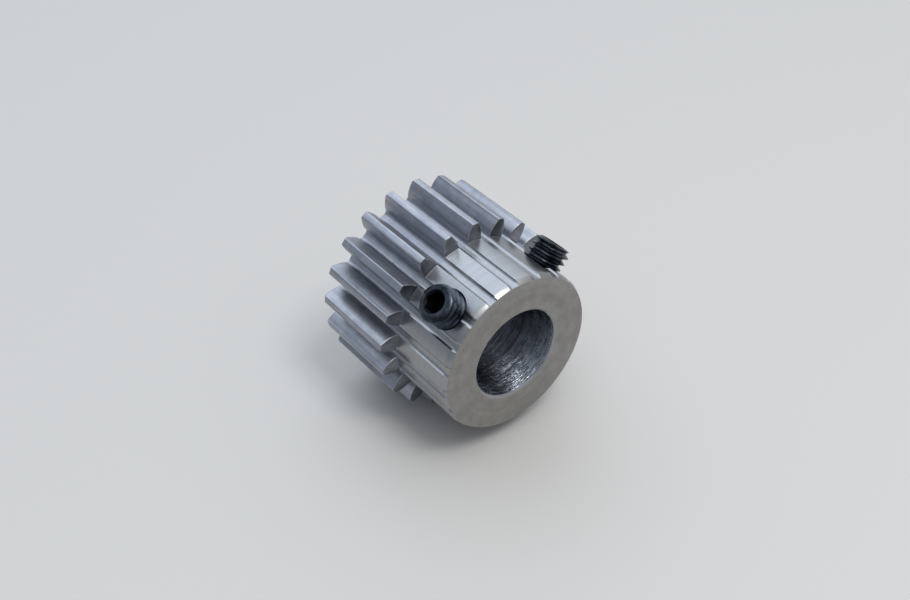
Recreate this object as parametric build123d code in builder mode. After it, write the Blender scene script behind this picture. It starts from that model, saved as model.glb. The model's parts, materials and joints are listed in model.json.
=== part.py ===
from build123d import *
import os
from math import acos, cos, hypot, pi, radians, sin, tan

# A steel spur pinion for an extruder motor shaft, held by two hex-socket set screws.
# The teeth are cut over the full length of the blank, and the nose end is then turned
# down to just above their roots. That leaves a smooth hub whose only trace of the
# teeth is a shallow groove between each pair of flat lands.
# Millimetres. The bore lies along Y with the origin at its middle, the hub's nose
# points to -Y, and +Z is up as the pinion lies on two teeth with its screws on top.

# Teeth
module = 1.0
tooth_count = 20
pressure_angle = 20.0
addendum = 1.0 * module
dedendum = 1.25 * module
root_fillet = 0.4 * module

# Blank
face_width = 10.0
hub_length = 8.0
groove_depth = 0.25
bore_diameter = 10.0
bore_chamfer = 0.2
back_chamfer = 0.2
nose_chamfer_length = 0.55  # along the hub, which makes it a shallow lead-in

# Set screws, M4 x 0.7 with a cup point
screw_diameter = 4.0
screw_pitch = 0.7
screw_length = 6.0
screw_point_chamfer = 0.45
screw_head_chamfer = 0.30
cup_diameter = 2.0
cup_angle = 120.0
socket_width = 2.0
socket_depth = 2.2
socket_drill_angle = 120.0

# Where the screws go
screw_from_nose = 3.6
first_screw_angle = -39.0  # from straight up, towards -X
screw_spacing = 86.0
point_to_bore = 0.15  # how far each point stands back from the bore wall
thread_clearance = 0.05  # radial, between the screw and its hole
hole_countersink = 0.3

# Worked out from the sizes above
pitch_radius = module * tooth_count / 2
tip_radius = pitch_radius + addendum
root_radius = pitch_radius - dedendum
base_radius = pitch_radius * cos(radians(pressure_angle))
hub_radius = root_radius + groove_depth
bore_radius = bore_diameter / 2
total_length = face_width + hub_length
tooth_angle = 360 / tooth_count
nose_chamfer = groove_depth + 0.02  # runs just past the grooves, so the rim is round
nose_chamfer_slope = nose_chamfer / nose_chamfer_length

screw_radius = screw_diameter / 2
thread_depth = 0.6134 * screw_pitch
core_radius = screw_radius - thread_depth
hole_radius = screw_radius + thread_clearance
point_radius = bore_radius + point_to_bore  # distance of the point from the bore's axis
head_radius = point_radius + screw_length

back_plane = Plane.XZ.offset(-total_length / 2)
nose_plane = Plane.XZ.offset(total_length / 2)
overcut = 1.0


def involute(angle):
    """The involute function of an angle in radians."""
    return tan(angle) - angle


def half_tooth_angle(radius):
    """Half of the angle that one tooth takes up at a radius, in radians."""
    at_pitch = pi / (2 * tooth_count)
    at_base = at_pitch + involute(radians(pressure_angle))
    if radius <= base_radius:
        return at_base
    return at_base - involute(acos(base_radius / radius))


def flank_points(side, count=7):
    """Points up one flank of the tooth on the X axis, from the base circle to the tip."""
    step = (tip_radius - base_radius) / (count - 1)
    radii = [base_radius + step * i for i in range(count)]
    return [(r * cos(half_tooth_angle(r)), side * r * sin(half_tooth_angle(r))) for r in radii]


def screw_plane(angle):
    """A plane on the bore's axis whose Z runs out along the screw at an angle from up."""
    direction = (sin(radians(angle)), 0, cos(radians(angle)))
    return Plane(origin=(0, screw_from_nose - total_length / 2, 0), x_dir=(0, 1, 0), z_dir=direction)


screw_planes = {
    "set_screw_1": screw_plane(first_screw_angle),
    "set_screw_2": screw_plane(first_screw_angle + screw_spacing),
}

os.makedirs("parts", exist_ok=True)

# One tooth: two involute flanks, which run straight in to the root, and a round tip
lower_flank = flank_points(-1)
upper_flank = flank_points(1)
inner_radius = root_radius - overcut
inner_half = half_tooth_angle(root_radius)
inner_x = inner_radius * cos(inner_half)
inner_y = inner_radius * sin(inner_half)
with BuildSketch() as tooth:
    with BuildLine():
        Spline(*lower_flank)
        ThreePointArc(lower_flank[-1], (tip_radius, 0), upper_flank[-1])
        Spline(*upper_flank)
        Polyline(upper_flank[0], (inner_x, inner_y), (inner_x, -inner_y), lower_flank[0])
    make_face()

# The gear body: a toothed bar, with its nose turned down, bored, and drilled for the screws
with BuildPart() as gear_body:
    with BuildSketch(back_plane) as outline:
        Circle(root_radius)
        # half a tooth of turn puts a gap straight down, so the pinion stands on two tips
        with PolarLocations(0, tooth_count, start_angle=tooth_angle / 2):
            add(tooth.sketch)
        corners = outline.vertices().filter_by(lambda v: abs(hypot(v.X, v.Y) - root_radius) < 0.01)
        fillet(corners, radius=root_fillet)
    extrude(amount=total_length)

    with BuildSketch(nose_plane):
        Circle(tip_radius + overcut)
        Circle(hub_radius, mode=Mode.SUBTRACT)
    extrude(amount=-hub_length, mode=Mode.SUBTRACT)

    with BuildSketch(Plane.YZ):
        nose = -total_length / 2
        back = total_length / 2
        with BuildLine():
            rise = overcut * nose_chamfer_slope
            Polyline(
                (nose - overcut, hub_radius - nose_chamfer - rise),
                (nose + nose_chamfer_length + overcut, hub_radius + rise),
                (nose - overcut, hub_radius + rise),
                close=True,
            )
        make_face()
        with BuildLine():
            Polyline(
                (back + overcut, tip_radius - back_chamfer - overcut),
                (back - back_chamfer - overcut, tip_radius + overcut),
                (back + overcut, tip_radius + overcut),
                close=True,
            )
        make_face()
    revolve(axis=Axis.Y, mode=Mode.SUBTRACT)

    with BuildSketch(nose_plane):
        Circle(bore_radius)
    extrude(amount=-total_length, mode=Mode.SUBTRACT)
    mouths = gear_body.edges().filter_by(GeomType.CIRCLE)
    mouths = mouths.filter_by(lambda edge: abs(edge.radius - bore_radius) < 0.001)
    chamfer(mouths, length=bore_chamfer)

    for plane in screw_planes.values():
        with BuildSketch(plane):
            Circle(hole_radius)
        extrude(amount=tip_radius + overcut, mode=Mode.SUBTRACT)
        # the mouth is opened from where the cone meets the thread to outside the hub
        mouth_start = hub_radius - hole_countersink
        with BuildSketch(plane.offset(mouth_start)):
            Circle(hole_radius)
        extrude(amount=2 * hole_countersink, taper=-45, mode=Mode.SUBTRACT)

gear_body.part.label = "gear_body"
export_step(gear_body.part, "parts/gear_body.step")


def thread_outline():
    """Radius and distance along the screw for rings of 60 degree thread, from the point up."""
    crest_flat = screw_pitch / 8
    root_flat = screw_pitch / 4
    first = screw_point_chamfer
    last = screw_length - screw_head_chamfer
    ring_count = int((last - first) / screw_pitch)
    start = (first + last - ring_count * screw_pitch) / 2
    points = []
    for ring in range(ring_count):
        middle = start + screw_pitch * (ring + 0.5)
        points.append((screw_radius, middle - (screw_pitch - crest_flat) / 2))
        points.append((core_radius, middle - root_flat / 2))
        points.append((core_radius, middle + root_flat / 2))
        points.append((screw_radius, middle + (screw_pitch - crest_flat) / 2))
    return points


def make_set_screw(label, plane):
    """One set screw on a plane whose Z is the screw's axis, point towards the bore."""
    cup_radius = cup_diameter / 2
    cup_depth = cup_radius / tan(radians(cup_angle / 2))
    drill_radius = socket_width / 2
    drill_depth = drill_radius / tan(radians(socket_drill_angle / 2))
    profile_plane = Plane(origin=plane.origin, x_dir=plane.x_dir, z_dir=-plane.y_dir)
    outline = [(0, cup_depth), (cup_radius, 0), (screw_radius - screw_point_chamfer, 0)]
    outline.append((screw_radius, screw_point_chamfer))
    outline.extend(thread_outline())
    outline.append((screw_radius, screw_length - screw_head_chamfer))
    outline.append((screw_radius - screw_head_chamfer, screw_length))
    outline.append((0, screw_length))
    with BuildPart() as screw:
        with BuildSketch(profile_plane):
            with BuildLine():
                Polyline(*[(x, point_radius + y) for x, y in outline], close=True)
            make_face()
        revolve(axis=Axis(plane.origin, plane.z_dir))
        with BuildSketch(plane.offset(head_radius)):
            RegularPolygon(radius=socket_width / 2, side_count=6, major_radius=False)
        extrude(amount=-socket_depth, mode=Mode.SUBTRACT)
        # the drill point below the hexagon
        with BuildSketch(profile_plane):
            floor = head_radius - socket_depth
            with BuildLine():
                Polyline((0, floor), (drill_radius, floor), (0, floor - drill_depth), close=True)
            make_face()
        revolve(axis=Axis(plane.origin, plane.z_dir), mode=Mode.SUBTRACT)
    screw.part.label = label
    return screw.part


for name, plane in screw_planes.items():
    export_step(make_set_screw(name, plane), f"parts/{name}.step")
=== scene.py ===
"""Studio view of a steel extruder pinion with its two set screws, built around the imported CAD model."""
import json

import bmesh
import bpy
import numpy as np
from mathutils import Matrix, Vector


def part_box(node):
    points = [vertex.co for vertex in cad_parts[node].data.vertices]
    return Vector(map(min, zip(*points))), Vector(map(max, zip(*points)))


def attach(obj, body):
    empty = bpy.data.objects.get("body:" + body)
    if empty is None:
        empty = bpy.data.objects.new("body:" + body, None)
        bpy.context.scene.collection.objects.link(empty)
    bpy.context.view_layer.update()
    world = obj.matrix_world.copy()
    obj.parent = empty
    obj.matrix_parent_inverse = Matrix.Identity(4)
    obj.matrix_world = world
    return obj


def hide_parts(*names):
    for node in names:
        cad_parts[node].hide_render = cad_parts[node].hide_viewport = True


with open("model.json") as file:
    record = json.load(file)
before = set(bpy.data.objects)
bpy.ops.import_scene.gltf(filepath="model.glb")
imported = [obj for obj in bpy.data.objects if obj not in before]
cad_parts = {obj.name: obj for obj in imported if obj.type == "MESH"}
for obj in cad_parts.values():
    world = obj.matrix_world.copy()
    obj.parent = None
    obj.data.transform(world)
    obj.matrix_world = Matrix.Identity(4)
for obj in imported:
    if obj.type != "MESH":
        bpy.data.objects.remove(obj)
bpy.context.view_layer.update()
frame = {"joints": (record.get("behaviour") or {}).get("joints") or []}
MM = 0.001


# ---------------------------------------------------------------------------
# Pinion. One piece of free-machining steel bar: the teeth are hobbed over its
# whole length, the nose end is turned down to just above their roots, and the
# bar is faced, drilled, reamed and left bare.
# ---------------------------------------------------------------------------

MODULE = 1.0 * MM
TEETH = 20
PRESSURE_ANGLE = np.radians(20.0)
TIP_RADIUS = (TEETH / 2 + 1.0) * MODULE
ROOT_RADIUS = (TEETH / 2 - 1.25) * MODULE
BASE_RADIUS = TEETH / 2 * MODULE * np.cos(PRESSURE_ANGLE)
ROOT_FILLET = 0.4 * MM
GROOVE_DEPTH = 0.25 * MM
HUB_RADIUS = ROOT_RADIUS + GROOVE_DEPTH
HUB_LENGTH = 8.0 * MM
BORE_RADIUS = 5.0 * MM
BORE_CHAMFER = 0.2 * MM
BACK_CHAMFER = 0.2 * MM
NOSE_CHAMFER = GROOVE_DEPTH + 0.02 * MM
NOSE_CHAMFER_LENGTH = 0.55 * MM
TIP_EDGE = 0.14 * MM     # how far wear has rounded the long edges of the tips
TOOTH_EDGE = 0.07 * MM   # and the file's rounding on the ends of the teeth
SHOULDER_FILLET = 0.06 * MM
SOFT_EDGE = 0.03 * MM    # the rounding where one turned face meets the next

pinion_low, pinion_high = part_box("gear_body")
NOSE = pinion_low[1]
BACK = pinion_high[1]
SHOULDER = NOSE + HUB_LENGTH


def arc(centre, radius, start, end, count):
    """Points on a circle: centre plus radius times (cos, sin) of angles spread evenly from start to end."""
    angle = np.linspace(start, end, count)
    return np.stack([centre[0] + radius * np.cos(angle), centre[1] + radius * np.sin(angle)], axis=1)


def half_tooth():
    """Half of a tooth about the X axis, from the middle of its tip down to the middle of the gap.

    The tip is an arc, its corner a small arc, and the flank an involute: at radius r the half
    angle is the one at the base circle less inv(a), where cos(a) = base radius / r and
    inv(a) = tan(a) - a. Below the base circle the flank runs straight in to a fillet arc.
    """
    at_base = np.pi / (2 * TEETH) + np.tan(PRESSURE_ANGLE) - PRESSURE_ANGLE
    radius = BASE_RADIUS + (TIP_RADIUS - TIP_EDGE - BASE_RADIUS) * np.linspace(1, 0, 8)
    slope = np.arccos(np.clip(BASE_RADIUS / radius, -1, 1))
    angle = at_base - (np.tan(slope) - slope)
    flank = np.stack([radius * np.cos(angle), radius * np.sin(angle)], axis=1)

    top = flank[0] - [0, TIP_EDGE]
    corner = arc(top, TIP_EDGE, np.radians(8), np.radians(72), 5)
    tip_half = np.arctan2(top[1], top[0])
    tip = arc((0, 0), TIP_RADIUS, 0, tip_half, 3)

    centre_radius = ROOT_RADIUS + ROOT_FILLET
    centre_angle = at_base + np.arcsin(ROOT_FILLET / centre_radius)
    centre = centre_radius * np.array([np.cos(centre_angle), np.sin(centre_angle)])
    fillet = arc(centre, ROOT_FILLET, at_base - np.pi / 2, centre_angle - np.pi, 6)
    root = arc((0, 0), ROOT_RADIUS, centre_angle, np.pi / TEETH, 3)
    return np.concatenate([tip, corner, flank, fillet, root[1:]])


def pinion_outline():
    """The closed toothed outline as points (across, up), a gap straight down, and its outward normals."""
    half = half_tooth()
    tooth = np.concatenate([half[::-1] * [1, -1], half[1:-1]])
    pitch = 2 * np.pi / TEETH
    turn = pitch * (np.arange(TEETH) + 0.5)
    cos, sin = np.cos(turn)[:, None], np.sin(turn)[:, None]
    across = (tooth[:, 0] * cos - tooth[:, 1] * sin).ravel()
    up = (tooth[:, 0] * sin + tooth[:, 1] * cos).ravel()
    points = np.stack([across, up], axis=1)
    along = np.roll(points, -1, axis=0) - np.roll(points, 1, axis=0)
    normals = np.stack([along[:, 1], -along[:, 0]], axis=1)
    normals /= np.linalg.norm(normals, axis=1)[:, None]
    return points, normals


def grid_mesh(name, rings, close_along, strip_material=None):
    """A mesh from rings of points, shaped (ring, point, xyz): each point joins its neighbours
    round the ring and the same point on the next ring, and the last ring joins the first if asked."""
    ring_count, point_count = rings.shape[:2]
    ring = np.arange(ring_count if close_along else ring_count - 1)[:, None]
    point = np.arange(point_count)[None, :]
    next_ring = (ring + 1) % ring_count
    next_point = (point + 1) % point_count
    quads = np.stack([
        np.broadcast_to(ring * point_count + point, (ring.size, point_count)),
        np.broadcast_to(next_ring * point_count + point, (ring.size, point_count)),
        np.broadcast_to(next_ring * point_count + next_point, (ring.size, point_count)),
        np.broadcast_to(ring * point_count + next_point, (ring.size, point_count)),
    ], axis=-1).reshape(-1, 4)
    mesh = bpy.data.meshes.new(name)
    mesh.from_pydata(rings.reshape(-1, 3), [], quads)
    if strip_material is not None:
        face_material = np.repeat(strip_material[:ring.size], point_count).astype(np.int32)
        mesh.polygons.foreach_set("material_index", face_material)
    mesh.update()
    piece = bpy.data.objects.new(name, mesh)
    bpy.context.scene.collection.objects.link(piece)
    return piece


FLANK, TURNED, FACED, BORED, ENDS = range(5)


def pinion_rings():
    """Rings round the bore, from inside it out over the nose, along the hub and the teeth, and back in.

    Each ring is the toothed outline held inside a turned radius: a point's radius is the smaller of its own
    and the ring's. A ring's edge value moves the outline in along its normal, which rounds the tooth ends.
    """
    points, normals = pinion_outline()
    outline_radius = np.hypot(points[:, 0], points[:, 1])
    on_tooth = np.clip((outline_radius - HUB_RADIUS) / (0.1 * MM), 0, 1)
    free = TIP_RADIUS * 2
    soft = SOFT_EDGE
    stations = []

    def add(y, turned_radius, edge, material):
        stations.append((y, turned_radius, edge, material))

    for y in np.linspace(BACK - BORE_CHAMFER, NOSE + BORE_CHAMFER, 7):
        add(y, BORE_RADIUS, 0, BORED)
    stations[-1] = stations[-1][:3] + (TURNED,)
    add(NOSE + soft, BORE_RADIUS + BORE_CHAMFER - soft, 0, TURNED)
    add(NOSE, BORE_RADIUS + BORE_CHAMFER + soft, 0, FACED)
    rim = HUB_RADIUS - NOSE_CHAMFER
    for radius in np.linspace(BORE_RADIUS + BORE_CHAMFER + 0.3 * MM, rim - 0.3 * MM, 5):
        add(NOSE, radius, 0, FACED)
    add(NOSE, rim - soft, 0, FACED)
    add(NOSE + soft, rim + soft * 0.5, 0, TURNED)
    add(NOSE + NOSE_CHAMFER_LENGTH - soft, HUB_RADIUS - soft * 0.5, 0, TURNED)
    for y in np.linspace(NOSE + NOSE_CHAMFER_LENGTH + soft, SHOULDER - SHOULDER_FILLET, 20):
        add(y, HUB_RADIUS, 0, TURNED)
    for turn in (0.5, 1.0):
        angle = turn * np.pi / 2
        add(SHOULDER - SHOULDER_FILLET * (1 - np.sin(angle)),
            HUB_RADIUS + SHOULDER_FILLET * (1 - np.cos(angle)), 0, ENDS)
    add(SHOULDER, free, TOOTH_EDGE, FLANK)
    for turn in (0.33, 0.66, 1.0):
        angle = turn * np.pi / 2
        add(SHOULDER + TOOTH_EDGE * (1 - np.cos(angle)), free, TOOTH_EDGE * (1 - np.sin(angle)), FLANK)
    last_tooth_ring = BACK - BACK_CHAMFER - 0.02 * MM
    for y in np.linspace(SHOULDER + 0.25 * MM, last_tooth_ring, 40):
        add(y, free, 0, FLANK)
    for share in (0.05, 0.6, 0.9):
        add(BACK - BACK_CHAMFER * (1 - share), TIP_RADIUS - BACK_CHAMFER * share,
            TOOTH_EDGE * share ** 3, FLANK)
    add(BACK, TIP_RADIUS - BACK_CHAMFER * 1.1, TOOTH_EDGE, FACED)
    for radius in np.linspace(ROOT_RADIUS - 0.1 * MM, BORE_RADIUS + BORE_CHAMFER + 0.05 * MM, 5):
        add(BACK, radius, 0, FACED)
    stations[-1] = stations[-1][:3] + (TURNED,)

    y, turned_radius, edge, material = (np.array(column) for column in zip(*stations))
    inset = edge[:, None] * on_tooth[None, :]
    across = points[None, :, 0] - inset * normals[None, :, 0]
    up = points[None, :, 1] - inset * normals[None, :, 1]
    radius = np.hypot(across, up)
    held = np.minimum(radius, turned_radius[:, None]) / radius
    rings = np.stack([across * held, np.broadcast_to(y[:, None], radius.shape), up * held], axis=-1)
    return rings, material.astype(int)


def tidy_mesh(piece, sharp_angle=None):
    """Merges points that fall together, and shades smooth apart from edges sharper than the angle."""
    shape = bmesh.new()
    shape.from_mesh(piece.data)
    bmesh.ops.remove_doubles(shape, verts=shape.verts, dist=0.0005 * MM)
    bmesh.ops.dissolve_degenerate(shape, edges=shape.edges, dist=0.0002 * MM)
    for face in shape.faces:
        face.smooth = True
    if sharp_angle:
        for edge in shape.edges:
            edge.smooth = bool(edge.calc_face_angle(0) < sharp_angle)
    shape.to_mesh(piece.data)
    shape.free()


def new_group(name, inputs, outputs):
    """An empty shader node group with sockets given as (name, type, default) and (name, type)."""
    group = bpy.data.node_groups.new(name, "ShaderNodeTree")
    for label, kind, value in inputs:
        socket = group.interface.new_socket(name=label, in_out="INPUT", socket_type=kind)
        socket.default_value = value
    for label, kind in outputs:
        group.interface.new_socket(name=label, in_out="OUTPUT", socket_type=kind)
    return group, group.nodes.new("NodeGroupInput"), group.nodes.new("NodeGroupOutput")


def math_node(tree, operation, first, second=None):
    """A Math node with its inputs joined to sockets or set to numbers; gives its output socket."""
    node = tree.nodes.new("ShaderNodeMath")
    node.operation = operation
    for slot, value in enumerate((first, second)):
        if value is None:
            continue
        if isinstance(value, (int, float)):
            node.inputs[slot].default_value = value
        else:
            tree.links.new(value, node.inputs[slot])
    return node.outputs[0]


def tool_marks_group():
    """Lines left by a cutting tool: noise that changes fast across the marks and slowly along them."""
    group, start, end = new_group(
        "tool marks",
        [("Across", "NodeSocketFloat", 0.0), ("Along", "NodeSocketVector", (0, 0, 0)),
         ("Spacing", "NodeSocketFloat", 0.0001)],
        [("Height", "NodeSocketFloat"), ("Streak", "NodeSocketFloat")],
    )
    steps = math_node(group, "DIVIDE", start.outputs["Across"], start.outputs["Spacing"])
    lift = group.nodes.new("ShaderNodeCombineXYZ")
    group.links.new(steps, lift.inputs["X"])
    place = group.nodes.new("ShaderNodeVectorMath")
    place.operation = "ADD"
    group.links.new(lift.outputs[0], place.inputs[0])
    group.links.new(start.outputs["Along"], place.inputs[1])
    fine = group.nodes.new("ShaderNodeTexNoise")
    fine.inputs["Scale"].default_value = 1.0
    fine.inputs["Detail"].default_value = 3.0
    fine.inputs["Roughness"].default_value = 0.65
    group.links.new(place.outputs[0], fine.inputs["Vector"])
    coarse = group.nodes.new("ShaderNodeTexNoise")
    coarse.inputs["Scale"].default_value = 0.22
    coarse.inputs["Detail"].default_value = 2.0
    group.links.new(place.outputs[0], coarse.inputs["Vector"])
    group.links.new(fine.outputs["Fac"], end.inputs["Height"])
    group.links.new(coarse.outputs["Fac"], end.inputs["Streak"])
    return group


def mottle_group():
    """Soft clouds and fine grain of bare steel, as two masks about one half."""
    group, start, end = new_group(
        "steel mottle",
        [("Position", "NodeSocketVector", (0, 0, 0)), ("Cloud Size", "NodeSocketFloat", 0.002),
         ("Grain Size", "NodeSocketFloat", 0.0001)],
        [("Cloud", "NodeSocketFloat"), ("Grain", "NodeSocketFloat")],
    )
    for label, size, detail in (("Cloud", "Cloud Size", 4.0), ("Grain", "Grain Size", 2.0)):
        scale = math_node(group, "DIVIDE", 1.0, start.outputs[size])
        noise = group.nodes.new("ShaderNodeTexNoise")
        noise.inputs["Detail"].default_value = detail
        group.links.new(start.outputs["Position"], noise.inputs["Vector"])
        group.links.new(scale, noise.inputs["Scale"])
        group.links.new(noise.outputs["Fac"], end.inputs[label])
    return group


def pits_group():
    """Sparse small pits and nicks: round spots at some of the centres of a cell pattern."""
    group, start, end = new_group(
        "pits",
        [("Position", "NodeSocketVector", (0, 0, 0)), ("Spacing", "NodeSocketFloat", 0.001),
         ("Radius", "NodeSocketFloat", 0.12), ("Share", "NodeSocketFloat", 0.3)],
        [("Pit", "NodeSocketFloat")],
    )
    scale = math_node(group, "DIVIDE", 1.0, start.outputs["Spacing"])
    cells = group.nodes.new("ShaderNodeTexVoronoi")
    group.links.new(start.outputs["Position"], cells.inputs["Vector"])
    group.links.new(scale, cells.inputs["Scale"])
    inside = math_node(group, "SUBTRACT", start.outputs["Radius"], cells.outputs["Distance"])
    depth = math_node(group, "DIVIDE", inside, start.outputs["Radius"])
    depth = math_node(group, "MAXIMUM", depth, 0.0)
    split = group.nodes.new("ShaderNodeSeparateColor")
    group.links.new(cells.outputs["Color"], split.inputs[0])
    chosen = math_node(group, "LESS_THAN", split.outputs[0], start.outputs["Share"])
    group.links.new(math_node(group, "MULTIPLY", depth, chosen), end.inputs["Pit"])
    return group


HOB_MARKS_PER_METRE = 220.0  # so that a mark on a flank is about 4.5 mm long
CLOUD_SIZE = 1.2 * MM
PIT_SPACING = 1.1 * MM
TOOL_MARKS = tool_marks_group()
MOTTLE = mottle_group()
PITS = pits_group()


def place_group(tree, group, **values):
    """A group node with inputs set to numbers or joined to sockets; underscores stand for spaces."""
    node = tree.nodes.new("ShaderNodeGroup")
    node.node_tree = group
    for label, value in values.items():
        socket = node.inputs[label.replace("_", " ")]
        if isinstance(value, bpy.types.NodeSocket):
            tree.links.new(value, socket)
        else:
            socket.default_value = value
    return node


def blend_colours(tree, mask, first, second):
    """Mixes two colours, given as values or sockets, by a mask socket."""
    mix = tree.nodes.new("ShaderNodeMix")
    mix.data_type = "RGBA"
    tree.links.new(mask, mix.inputs["Factor"])
    for socket, colour in ((mix.inputs[6], first), (mix.inputs[7], second)):
        if isinstance(colour, bpy.types.NodeSocket):
            tree.links.new(colour, socket)
        else:
            socket.default_value = (*colour, 1.0)
    return mix.outputs[2]


def map_range(tree, value, low, high, out_low, out_high):
    """A value socket stretched from one range to another and held inside it."""
    node = tree.nodes.new("ShaderNodeMapRange")
    tree.links.new(value, node.inputs["Value"])
    for label, number in (("From Min", low), ("From Max", high), ("To Min", out_low), ("To Max", out_high)):
        node.inputs[label].default_value = number
    return node.outputs[0]


def steel_finish(name, marks, light, dark, rough, spacing, mark_depth, pit_share,
                 grain=0.06, clouds=0.4, shade_depth=None):
    """Bare steel with the marks of one kind of cut.

    marks is "along" for the hobbed teeth, "around" for turned and reamed walls, and "rings" for faced
    ends. light and dark are the colours it varies between, rough its lowest and highest roughness, and
    clouds the share of the colour that follows the mottle rather than the marks. shade_depth is painted
    shade: how far in from the ends of the bore its colour is darkened, from where the darkening starts
    to where it is full, standing in for the shade deeper in the bore.
    """
    material = bpy.data.materials.new(name)
    material.use_nodes = True
    tree = material.node_tree
    shader = tree.nodes["Principled BSDF"]
    shader.inputs["Metallic"].default_value = 1.0
    place = tree.nodes.new("ShaderNodeTexCoord").outputs["Object"]
    split = tree.nodes.new("ShaderNodeSeparateXYZ")
    tree.links.new(place, split.inputs[0])
    x, y, z = split.outputs
    radius = math_node(tree, "SQRT", math_node(
        tree, "ADD", math_node(tree, "MULTIPLY", x, x), math_node(tree, "MULTIPLY", z, z)))
    along = tree.nodes.new("ShaderNodeCombineXYZ")
    if marks == "along":
        # x and z are across the marks, and y along them
        tree.links.new(math_node(tree, "DIVIDE", z, spacing), along.inputs["Y"])
        tree.links.new(math_node(tree, "MULTIPLY", y, HOB_MARKS_PER_METRE), along.inputs["Z"])
        across = x
    else:
        tree.links.new(math_node(tree, "DIVIDE", x, radius), along.inputs["Y"])
        tree.links.new(math_node(tree, "DIVIDE", z, radius), along.inputs["Z"])
        across = y if marks == "around" else radius
    lines = place_group(tree, TOOL_MARKS, Across=across, Along=along.outputs[0], Spacing=spacing)
    mottle = place_group(tree, MOTTLE, Position=place, Cloud_Size=CLOUD_SIZE)
    pits = place_group(tree, PITS, Position=place, Spacing=PIT_SPACING, Radius=0.10, Share=pit_share)

    mask = math_node(tree, "ADD", math_node(tree, "MULTIPLY", lines.outputs["Streak"], 1 - clouds),
                     math_node(tree, "MULTIPLY", mottle.outputs["Cloud"], clouds))
    colour = blend_colours(tree, map_range(tree, mask, 0.35, 0.65, 0.0, 1.0), dark, light)
    pit_mask = map_range(tree, pits.outputs["Pit"], 0.0, 0.5, 0.0, 0.75)
    colour = blend_colours(tree, pit_mask, colour, tuple(0.25 * c for c in dark))
    # painted shade: the bore's colour darkens deeper in from its ends, where less light reaches
    if shade_depth:
        start, full = shade_depth
        inside = map_range(tree, math_node(tree, "ABSOLUTE", y), BACK - start, BACK - full, 0.0, 0.85)
        colour = blend_colours(tree, inside, colour, tuple(0.4 * c for c in dark))
    tree.links.new(colour, shader.inputs["Base Color"])

    tone = math_node(tree, "ADD", math_node(tree, "MULTIPLY", lines.outputs["Height"], 0.5),
                     math_node(tree, "MULTIPLY", mottle.outputs["Grain"], 0.5))
    tree.links.new(map_range(tree, tone, 0.3, 0.7, rough[0], rough[1]), shader.inputs["Roughness"])

    grain_height = math_node(tree, "MULTIPLY", mottle.outputs["Grain"], grain)
    height = math_node(tree, "ADD", lines.outputs["Height"], grain_height)
    height = math_node(tree, "SUBTRACT", height, math_node(tree, "MULTIPLY", pits.outputs["Pit"], 2.0))
    bump = tree.nodes.new("ShaderNodeBump")
    bump.inputs["Strength"].default_value = 1.0
    bump.inputs["Distance"].default_value = mark_depth
    tree.links.new(height, bump.inputs["Height"])
    tree.links.new(bump.outputs[0], shader.inputs["Normal"])
    return material


# in the order of FLANK, TURNED, FACED, BORED and ENDS
finishes = [
    steel_finish("hobbed teeth", "along", (0.43, 0.44, 0.475), (0.26, 0.27, 0.31), (0.33, 0.50),
                 spacing=0.18 * MM, mark_depth=0.014 * MM, pit_share=0.15, grain=0.5),
    steel_finish("turned hub", "around", (0.355, 0.36, 0.37), (0.330, 0.335, 0.345), (0.24, 0.36),
                 spacing=0.10 * MM, mark_depth=0.003 * MM, pit_share=0.10, clouds=0.15),
    steel_finish("faced nose", "rings", (0.350, 0.340, 0.325), (0.275, 0.266, 0.253), (0.44, 0.60),
                 spacing=0.14 * MM, mark_depth=0.007 * MM, pit_share=0.40, grain=0.6, clouds=0.7),
    # The bore's pale blue colour is set far above bare steel's, a painted highlight that brightens the fan
    # of reflected light near its mouth, and its colour darkens deeper in as painted shade.
    steel_finish("reamed bore", "around", (0.76, 0.83, 0.94), (0.14, 0.14, 0.155), (0.20, 0.32),
                 spacing=0.14 * MM, mark_depth=0.105 * MM, pit_share=0.0, shade_depth=(1.2 * MM, 4.6 * MM)),
    # The tooth ends are a filed finish, with their colour also made darker and bluer than the other steel
    # as painted shade and a painted blue reflection on the end faces.
    steel_finish("tooth ends", "rings", (0.24, 0.255, 0.285), (0.15, 0.16, 0.185), (0.26, 0.40),
                 spacing=0.16 * MM, mark_depth=0.008 * MM, pit_share=0.1),
]

rings, strip_material = pinion_rings()
pinion = grid_mesh("pinion", rings, True, strip_material)
for finish in finishes:
    pinion.data.materials.append(finish)
tidy_mesh(pinion)

# The screws' holes. Each is cut by a round tool that widens to a countersink at the hub, and has no thread.
screw_axes = {joint["child"]: np.array(joint["axis"]) for joint in frame["joints"]}
SCREW_NODES = {"screw_1": "set_screw_1", "screw_2": "set_screw_2"}
HOLE_RADIUS = 2.05 * MM
HOLE_COUNTERSINK = 0.3 * MM


def screw_frame(body):
    """The screw's axis, two directions square to it, and the point where it meets the bore's axis."""
    out = screw_axes[body] / np.linalg.norm(screw_axes[body])
    low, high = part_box(SCREW_NODES[body])
    along_bore = np.array([0.0, 1.0, 0.0])
    return out, along_bore, np.cross(along_bore, out), np.array([0.0, (low[1] + high[1]) / 2, 0.0])


def about_screw(name, radius, height, body, strip_material=None):
    """A surface about a screw's axis from radius and height, both shaped (ring, turn): each point is
    the radius times (cos, sin) of its turn round the axis, at its height along it."""
    out, first, second, origin = screw_frame(body)
    turn = np.linspace(0, 2 * np.pi, radius.shape[1], endpoint=False)
    ring = np.cos(turn)[:, None] * first + np.sin(turn)[:, None] * second
    rings = origin + radius[..., None] * ring[None] + height[..., None] * out
    return grid_mesh(name, rings, False, strip_material)


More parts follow.
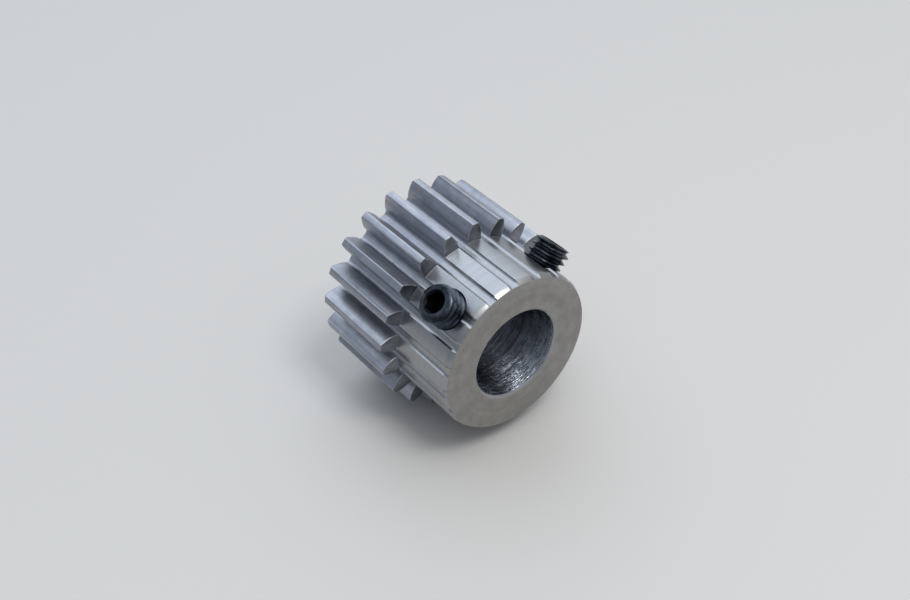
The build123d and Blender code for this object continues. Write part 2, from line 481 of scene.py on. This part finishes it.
def hole_tool(body, around=96):
    """The drill and countersink as one turned solid, from inside the bore out to the tips' radius."""
    mouth = HUB_RADIUS - HOLE_COUNTERSINK
    spread = 2 * HOLE_COUNTERSINK
    start = BORE_RADIUS * 0.7
    profile = np.array([
        (0, start), (HOLE_RADIUS, start), (HOLE_RADIUS, mouth),
        (HOLE_RADIUS + spread, mouth + spread), (HOLE_RADIUS + spread, TIP_RADIUS), (0, TIP_RADIUS),
    ])
    radius = np.repeat(profile[:, :1], around, axis=1)
    height = np.repeat(profile[:, 1:], around, axis=1)
    tool = about_screw("hole_tool", radius, height, body, np.full(len(profile), ENDS))
    for finish in finishes:
        tool.data.materials.append(finish)
    tidy_mesh(tool)
    return tool


for body in screw_axes:
    tool = hole_tool(body)
    cut = pinion.modifiers.new("hole", "BOOLEAN")
    cut.operation = "DIFFERENCE"
    cut.solver = "EXACT"
    cut.object = tool
    bpy.context.view_layer.update()
    drilled = bpy.data.meshes.new_from_object(pinion.evaluated_get(bpy.context.evaluated_depsgraph_get()))
    pinion.modifiers.clear()
    pinion.data = drilled
    bpy.data.objects.remove(tool)
tidy_mesh(pinion, np.radians(32))

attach(pinion, "gear")
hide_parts("gear_body")


# ---------------------------------------------------------------------------
# Set screws. M4 hex-socket screws with a cup point, rolled from alloy steel,
# hardened and black-oxide finished. One in each tapped hole of the hub, with
# the cup just short of the bore.
# ---------------------------------------------------------------------------

SCREW_RADIUS = 2.0 * MM
THREAD_PITCH = 0.7 * MM
THREAD_DEPTH = 0.6134 * THREAD_PITCH
SCREW_LENGTH = 6.0 * MM
POINT_CHAMFER = 0.45 * MM
HEAD_CHAMFER = 0.30 * MM
CUP_RADIUS = 1.0 * MM
CUP_DEPTH = CUP_RADIUS / np.tan(np.radians(60))
SOCKET_APOTHEM = 1.0 * MM
SOCKET_MOUTH = 1.22 * MM
SOCKET_DEPTH = 2.2 * MM
SOCKET_POINT = SOCKET_APOTHEM / np.tan(np.radians(60))
POINT_TO_BORE = 0.15 * MM
OXIDE_GRAIN = 0.08 * MM
OXIDE_DEPTH = 0.006 * MM


def set_screw(name, body, start_turn):
    """A set screw as rings about its axis, from the middle of its cup up to the bottom of its socket.

    The thread is a helix: a row at share s of a pitch has height pitch * (s - turn / one turn), and its
    radius follows the thread's section at s, held inside the end chamfers. The socket's rings have the
    hexagon's radius, apothem / cos(turn from the middle of the nearest flat).

    Two known faults. Each row ends on its own start, where a helix runs on into the row one pitch lower,
    so a seam about a pitch high lies at turn 0. With a start_turn over 0.16 the last row also stops short
    of the head before the turn is done, so the rim dips beside the seam, by 0.13 mm on the first screw.
    """
    around = 120
    turn = np.linspace(0, 2 * np.pi, around, endpoint=False)
    # over one pitch: a crest flat with broken corners, a flank down, a rounded root and a flank up
    section_share = np.array([0.0, 0.02, 0.105, 0.125, 0.40, 0.45, 0.5625, 0.675, 0.725])
    section_depth = np.array([0.05, 0.0, 0.0, 0.05, 0.95, 1.0, 1.02, 1.0, 0.95])
    pitches = int(SCREW_LENGTH / THREAD_PITCH) + 2
    share = (np.arange(pitches)[:, None] + section_share[None, :]).ravel()
    depth = np.tile(section_depth, pitches)
    height = THREAD_PITCH * (share[:, None] - (turn / (2 * np.pi) + start_turn)[None, :])
    height = np.clip(height, 0, SCREW_LENGTH)
    radius = np.repeat((SCREW_RADIUS - THREAD_DEPTH * depth)[:, None], around, axis=1)
    radius = np.minimum(radius, SCREW_RADIUS - POINT_CHAMFER + height)
    radius = np.minimum(radius, SCREW_RADIUS - HEAD_CHAMFER + SCREW_LENGTH - height)

    flat = np.pi / 3
    hexagon = SOCKET_APOTHEM / np.cos(np.mod(turn, flat) - flat / 2)
    even = np.ones(around)
    below = [(0 * even, CUP_DEPTH * even), (CUP_RADIUS * 0.96 * even, 0.02 * MM * even),
             (CUP_RADIUS * 1.04 * even, 0 * even)]
    top = SCREW_LENGTH
    above = [
        (SOCKET_MOUTH * 1.08 * even, top * even),
        (SOCKET_MOUTH * 1.02 * even, (top - 0.01 * MM) * even),
        (hexagon, top - (SOCKET_MOUTH - hexagon) - 0.02 * MM),
        (hexagon, (top - SOCKET_DEPTH) * even),
        (SOCKET_APOTHEM * 0.98 * even, (top - SOCKET_DEPTH - 0.03 * MM) * even),
        (0 * even, (top - SOCKET_DEPTH - SOCKET_POINT) * even),
    ]
    radius = np.concatenate([[r for r, h in below], radius, [r for r, h in above]])
    height = np.concatenate([[h for r, h in below], height, [h for r, h in above]])
    strips = np.full(len(radius), THREAD)
    strips[-len(above) - 3:] = HEAD
    # the socket's rings take a near-black finish, painted shade inside the hexagon socket
    strips[-len(above) + 1:] = SOCKET
    screw = about_screw(name, radius, height + BORE_RADIUS + POINT_TO_BORE, body, strips)
    for finish in screw_finishes:
        screw.data.materials.append(finish)
    tidy_mesh(screw, np.radians(28))
    return screw


def black_oxide(name, light, dark, rough):
    """Black-oxide steel: a thin dark skin with a blue cast, cloudy and slightly grained."""
    material = bpy.data.materials.new(name)
    material.use_nodes = True
    tree = material.node_tree
    shader = tree.nodes["Principled BSDF"]
    shader.inputs["Metallic"].default_value = 1.0
    place = tree.nodes.new("ShaderNodeTexCoord").outputs["Object"]
    mottle = place_group(tree, MOTTLE, Position=place, Cloud_Size=CLOUD_SIZE, Grain_Size=OXIDE_GRAIN)
    cloud = map_range(tree, mottle.outputs["Cloud"], 0.35, 0.65, 0.0, 1.0)
    tree.links.new(blend_colours(tree, cloud, dark, light), shader.inputs["Base Color"])
    tree.links.new(map_range(tree, mottle.outputs["Grain"], 0.3, 0.7, *rough), shader.inputs["Roughness"])
    bump = tree.nodes.new("ShaderNodeBump")
    bump.inputs["Distance"].default_value = OXIDE_DEPTH
    tree.links.new(mottle.outputs["Grain"], bump.inputs["Height"])
    tree.links.new(bump.outputs[0], shader.inputs["Normal"])
    return material


THREAD, HEAD, SOCKET = range(3)
# in the order of THREAD, HEAD and SOCKET
screw_finishes = [
    black_oxide("oxide on the thread", (0.088, 0.104, 0.130), (0.014, 0.016, 0.020), (0.22, 0.36)),
    black_oxide("oxide on the head", (0.075, 0.088, 0.110), (0.036, 0.042, 0.052), (0.30, 0.42)),
    # painted shade: the socket's walls are coloured nearly black to stand in for the shade inside the
    # socket
    black_oxide("painted shade in the socket", (0.014, 0.014, 0.018), (0.006, 0.006, 0.008), (0.55, 0.70)),
]
for body, start_turn in (("screw_1", 0.35), ("screw_2", 0.0)):
    screw = set_screw(f"threaded_{SCREW_NODES[body]}", body, start_turn)
    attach(screw, body)
    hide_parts(SCREW_NODES[body])


# ---------------------------------------------------------------------------
# Table. A plain pale sheet that the pinion lies on, on the tips of two teeth.
# ---------------------------------------------------------------------------

TABLE_SIZE = 1.2
TABLE_HEIGHT = pinion_low[2] - 0.01 * MM


def table():
    """A flat square as a coarse grid, centred under the pinion."""
    half = TABLE_SIZE / 2
    lines = 9
    side = np.linspace(-half, half, lines)
    across, along = np.meshgrid(side, side)
    points = np.stack([across, along, np.full_like(across, TABLE_HEIGHT)], axis=-1)
    corner = np.arange(lines - 1)[:, None] * lines + np.arange(lines - 1)[None, :]
    quads = np.stack([corner, corner + 1, corner + lines + 1, corner + lines], axis=-1).reshape(-1, 4)
    mesh = bpy.data.meshes.new("table")
    mesh.from_pydata(points.reshape(-1, 3), [], quads)
    mesh.update()
    piece = bpy.data.objects.new("table", mesh)
    bpy.context.scene.collection.objects.link(piece)
    return piece


floor = table()
floor_paint = bpy.data.materials.new("pale table")
floor_paint.use_nodes = True
floor_shader = floor_paint.node_tree.nodes["Principled BSDF"]
floor_shader.inputs["Base Color"].default_value = (0.474, 0.464, 0.448, 1.0)
floor_shader.inputs["Roughness"].default_value = 0.6
floor.data.materials.append(floor_paint)


# ---------------------------------------------------------------------------
# Light. A pale room with a soft window high behind the pinion, and the camera
# looking down at the nose from the left.
# ---------------------------------------------------------------------------

WINDOW_SIDE = (0.214, 0.608, 0.765)
OVERHEAD = (0.05, -0.28, 0.958)


def glow(tree, direction, toward, edge, colour, strength):
    """A round bright area of the sky: the colour times a share that grows as the square of how far the
    direction has come from the edge's cosine to the middle."""
    nearness = tree.nodes.new("ShaderNodeVectorMath")
    nearness.operation = "DOT_PRODUCT"
    tree.links.new(direction, nearness.inputs[0])
    nearness.inputs[1].default_value = toward
    share = map_range(tree, nearness.outputs["Value"], edge, 1.0, 0.0, 1.0)
    share = math_node(tree, "MULTIPLY", math_node(tree, "MULTIPLY", share, share), strength)
    scaled = tree.nodes.new("ShaderNodeVectorMath")
    scaled.operation = "SCALE"
    scaled.inputs[0].default_value = colour
    tree.links.new(share, scaled.inputs["Scale"])
    return scaled.outputs[0]


def room():
    """A pale room: dim and cool on the left, lighter and nearly grey on the right, a cool window high
    behind that the hub's flats reflect, and a soft bright ceiling."""
    world = bpy.data.worlds.new("room")
    bpy.context.scene.world = world
    world.use_nodes = True
    tree = world.node_tree
    direction = tree.nodes.new("ShaderNodeTexCoord").outputs["Generated"]
    split = tree.nodes.new("ShaderNodeSeparateXYZ")
    tree.links.new(direction, split.inputs[0])
    rightward = map_range(tree, split.outputs["X"], -0.7, 0.8, 0.0, 1.0)
    total = blend_colours(tree, rightward, (0.31, 0.35, 0.41), (0.58, 0.59, 0.61))
    for light in (glow(tree, direction, WINDOW_SIDE, 0.50, (0.86, 0.98, 1.14), 1.3),
                  glow(tree, direction, OVERHEAD, 0.60, (1.0, 0.99, 0.96), 1.2)):
        add = tree.nodes.new("ShaderNodeVectorMath")
        tree.links.new(total, add.inputs[0])
        tree.links.new(light, add.inputs[1])
        total = add.outputs[0]
    tree.links.new(total, tree.nodes["Background"].inputs["Color"])


def soft_light(name, place, size, power, colour):
    """A square area light at a place in metres, turned to face the pinion."""
    light = bpy.data.lights.new(name, "AREA")
    light.shape = "SQUARE"
    light.size = size
    light.energy = power
    light.color = colour
    holder = bpy.data.objects.new(name, light)
    holder.location = place
    holder.rotation_euler = (-Vector(place)).to_track_quat("-Z", "Y").to_euler()
    bpy.context.scene.collection.objects.link(holder)


room()
soft_light("ceiling_light", (0.035, -0.22, 0.43), 0.15, 1.0, (1.0, 0.99, 0.96))

CAMERA_AZIMUTH = np.radians(35.8)
CAMERA_ELEVATION = np.radians(41.4)
CAMERA_ROLL = np.radians(3.5)
CAMERA_DISTANCE = 134.9 * MM
LOOK_AT = np.array([-0.1, 0.8, 0.7]) * MM
LENS = 51.5


def place_camera():
    """Looks along azimuth from +Y towards +X and down by the elevation, then rolls about that line."""
    level = np.array([np.sin(CAMERA_AZIMUTH), np.cos(CAMERA_AZIMUTH), 0.0])
    forward = level * np.cos(CAMERA_ELEVATION) - np.array([0, 0, np.sin(CAMERA_ELEVATION)])
    right = np.array([np.cos(CAMERA_AZIMUTH), -np.sin(CAMERA_AZIMUTH), 0.0])
    up = np.cross(right, forward)
    rolled_right = right * np.cos(CAMERA_ROLL) - up * np.sin(CAMERA_ROLL)
    rolled_up = np.cross(rolled_right, forward)
    lens = bpy.data.cameras.new("camera")
    lens.lens = LENS
    lens.clip_start = 0.005
    holder = bpy.data.objects.new("camera", lens)
    turn = Matrix([rolled_right, rolled_up, -forward]).transposed().to_4x4()
    holder.matrix_world = Matrix.Translation(LOOK_AT - forward * CAMERA_DISTANCE) @ turn
    bpy.context.scene.collection.objects.link(holder)
    bpy.context.scene.camera = holder


place_camera()
bpy.context.scene.view_settings.view_transform = "Standard"
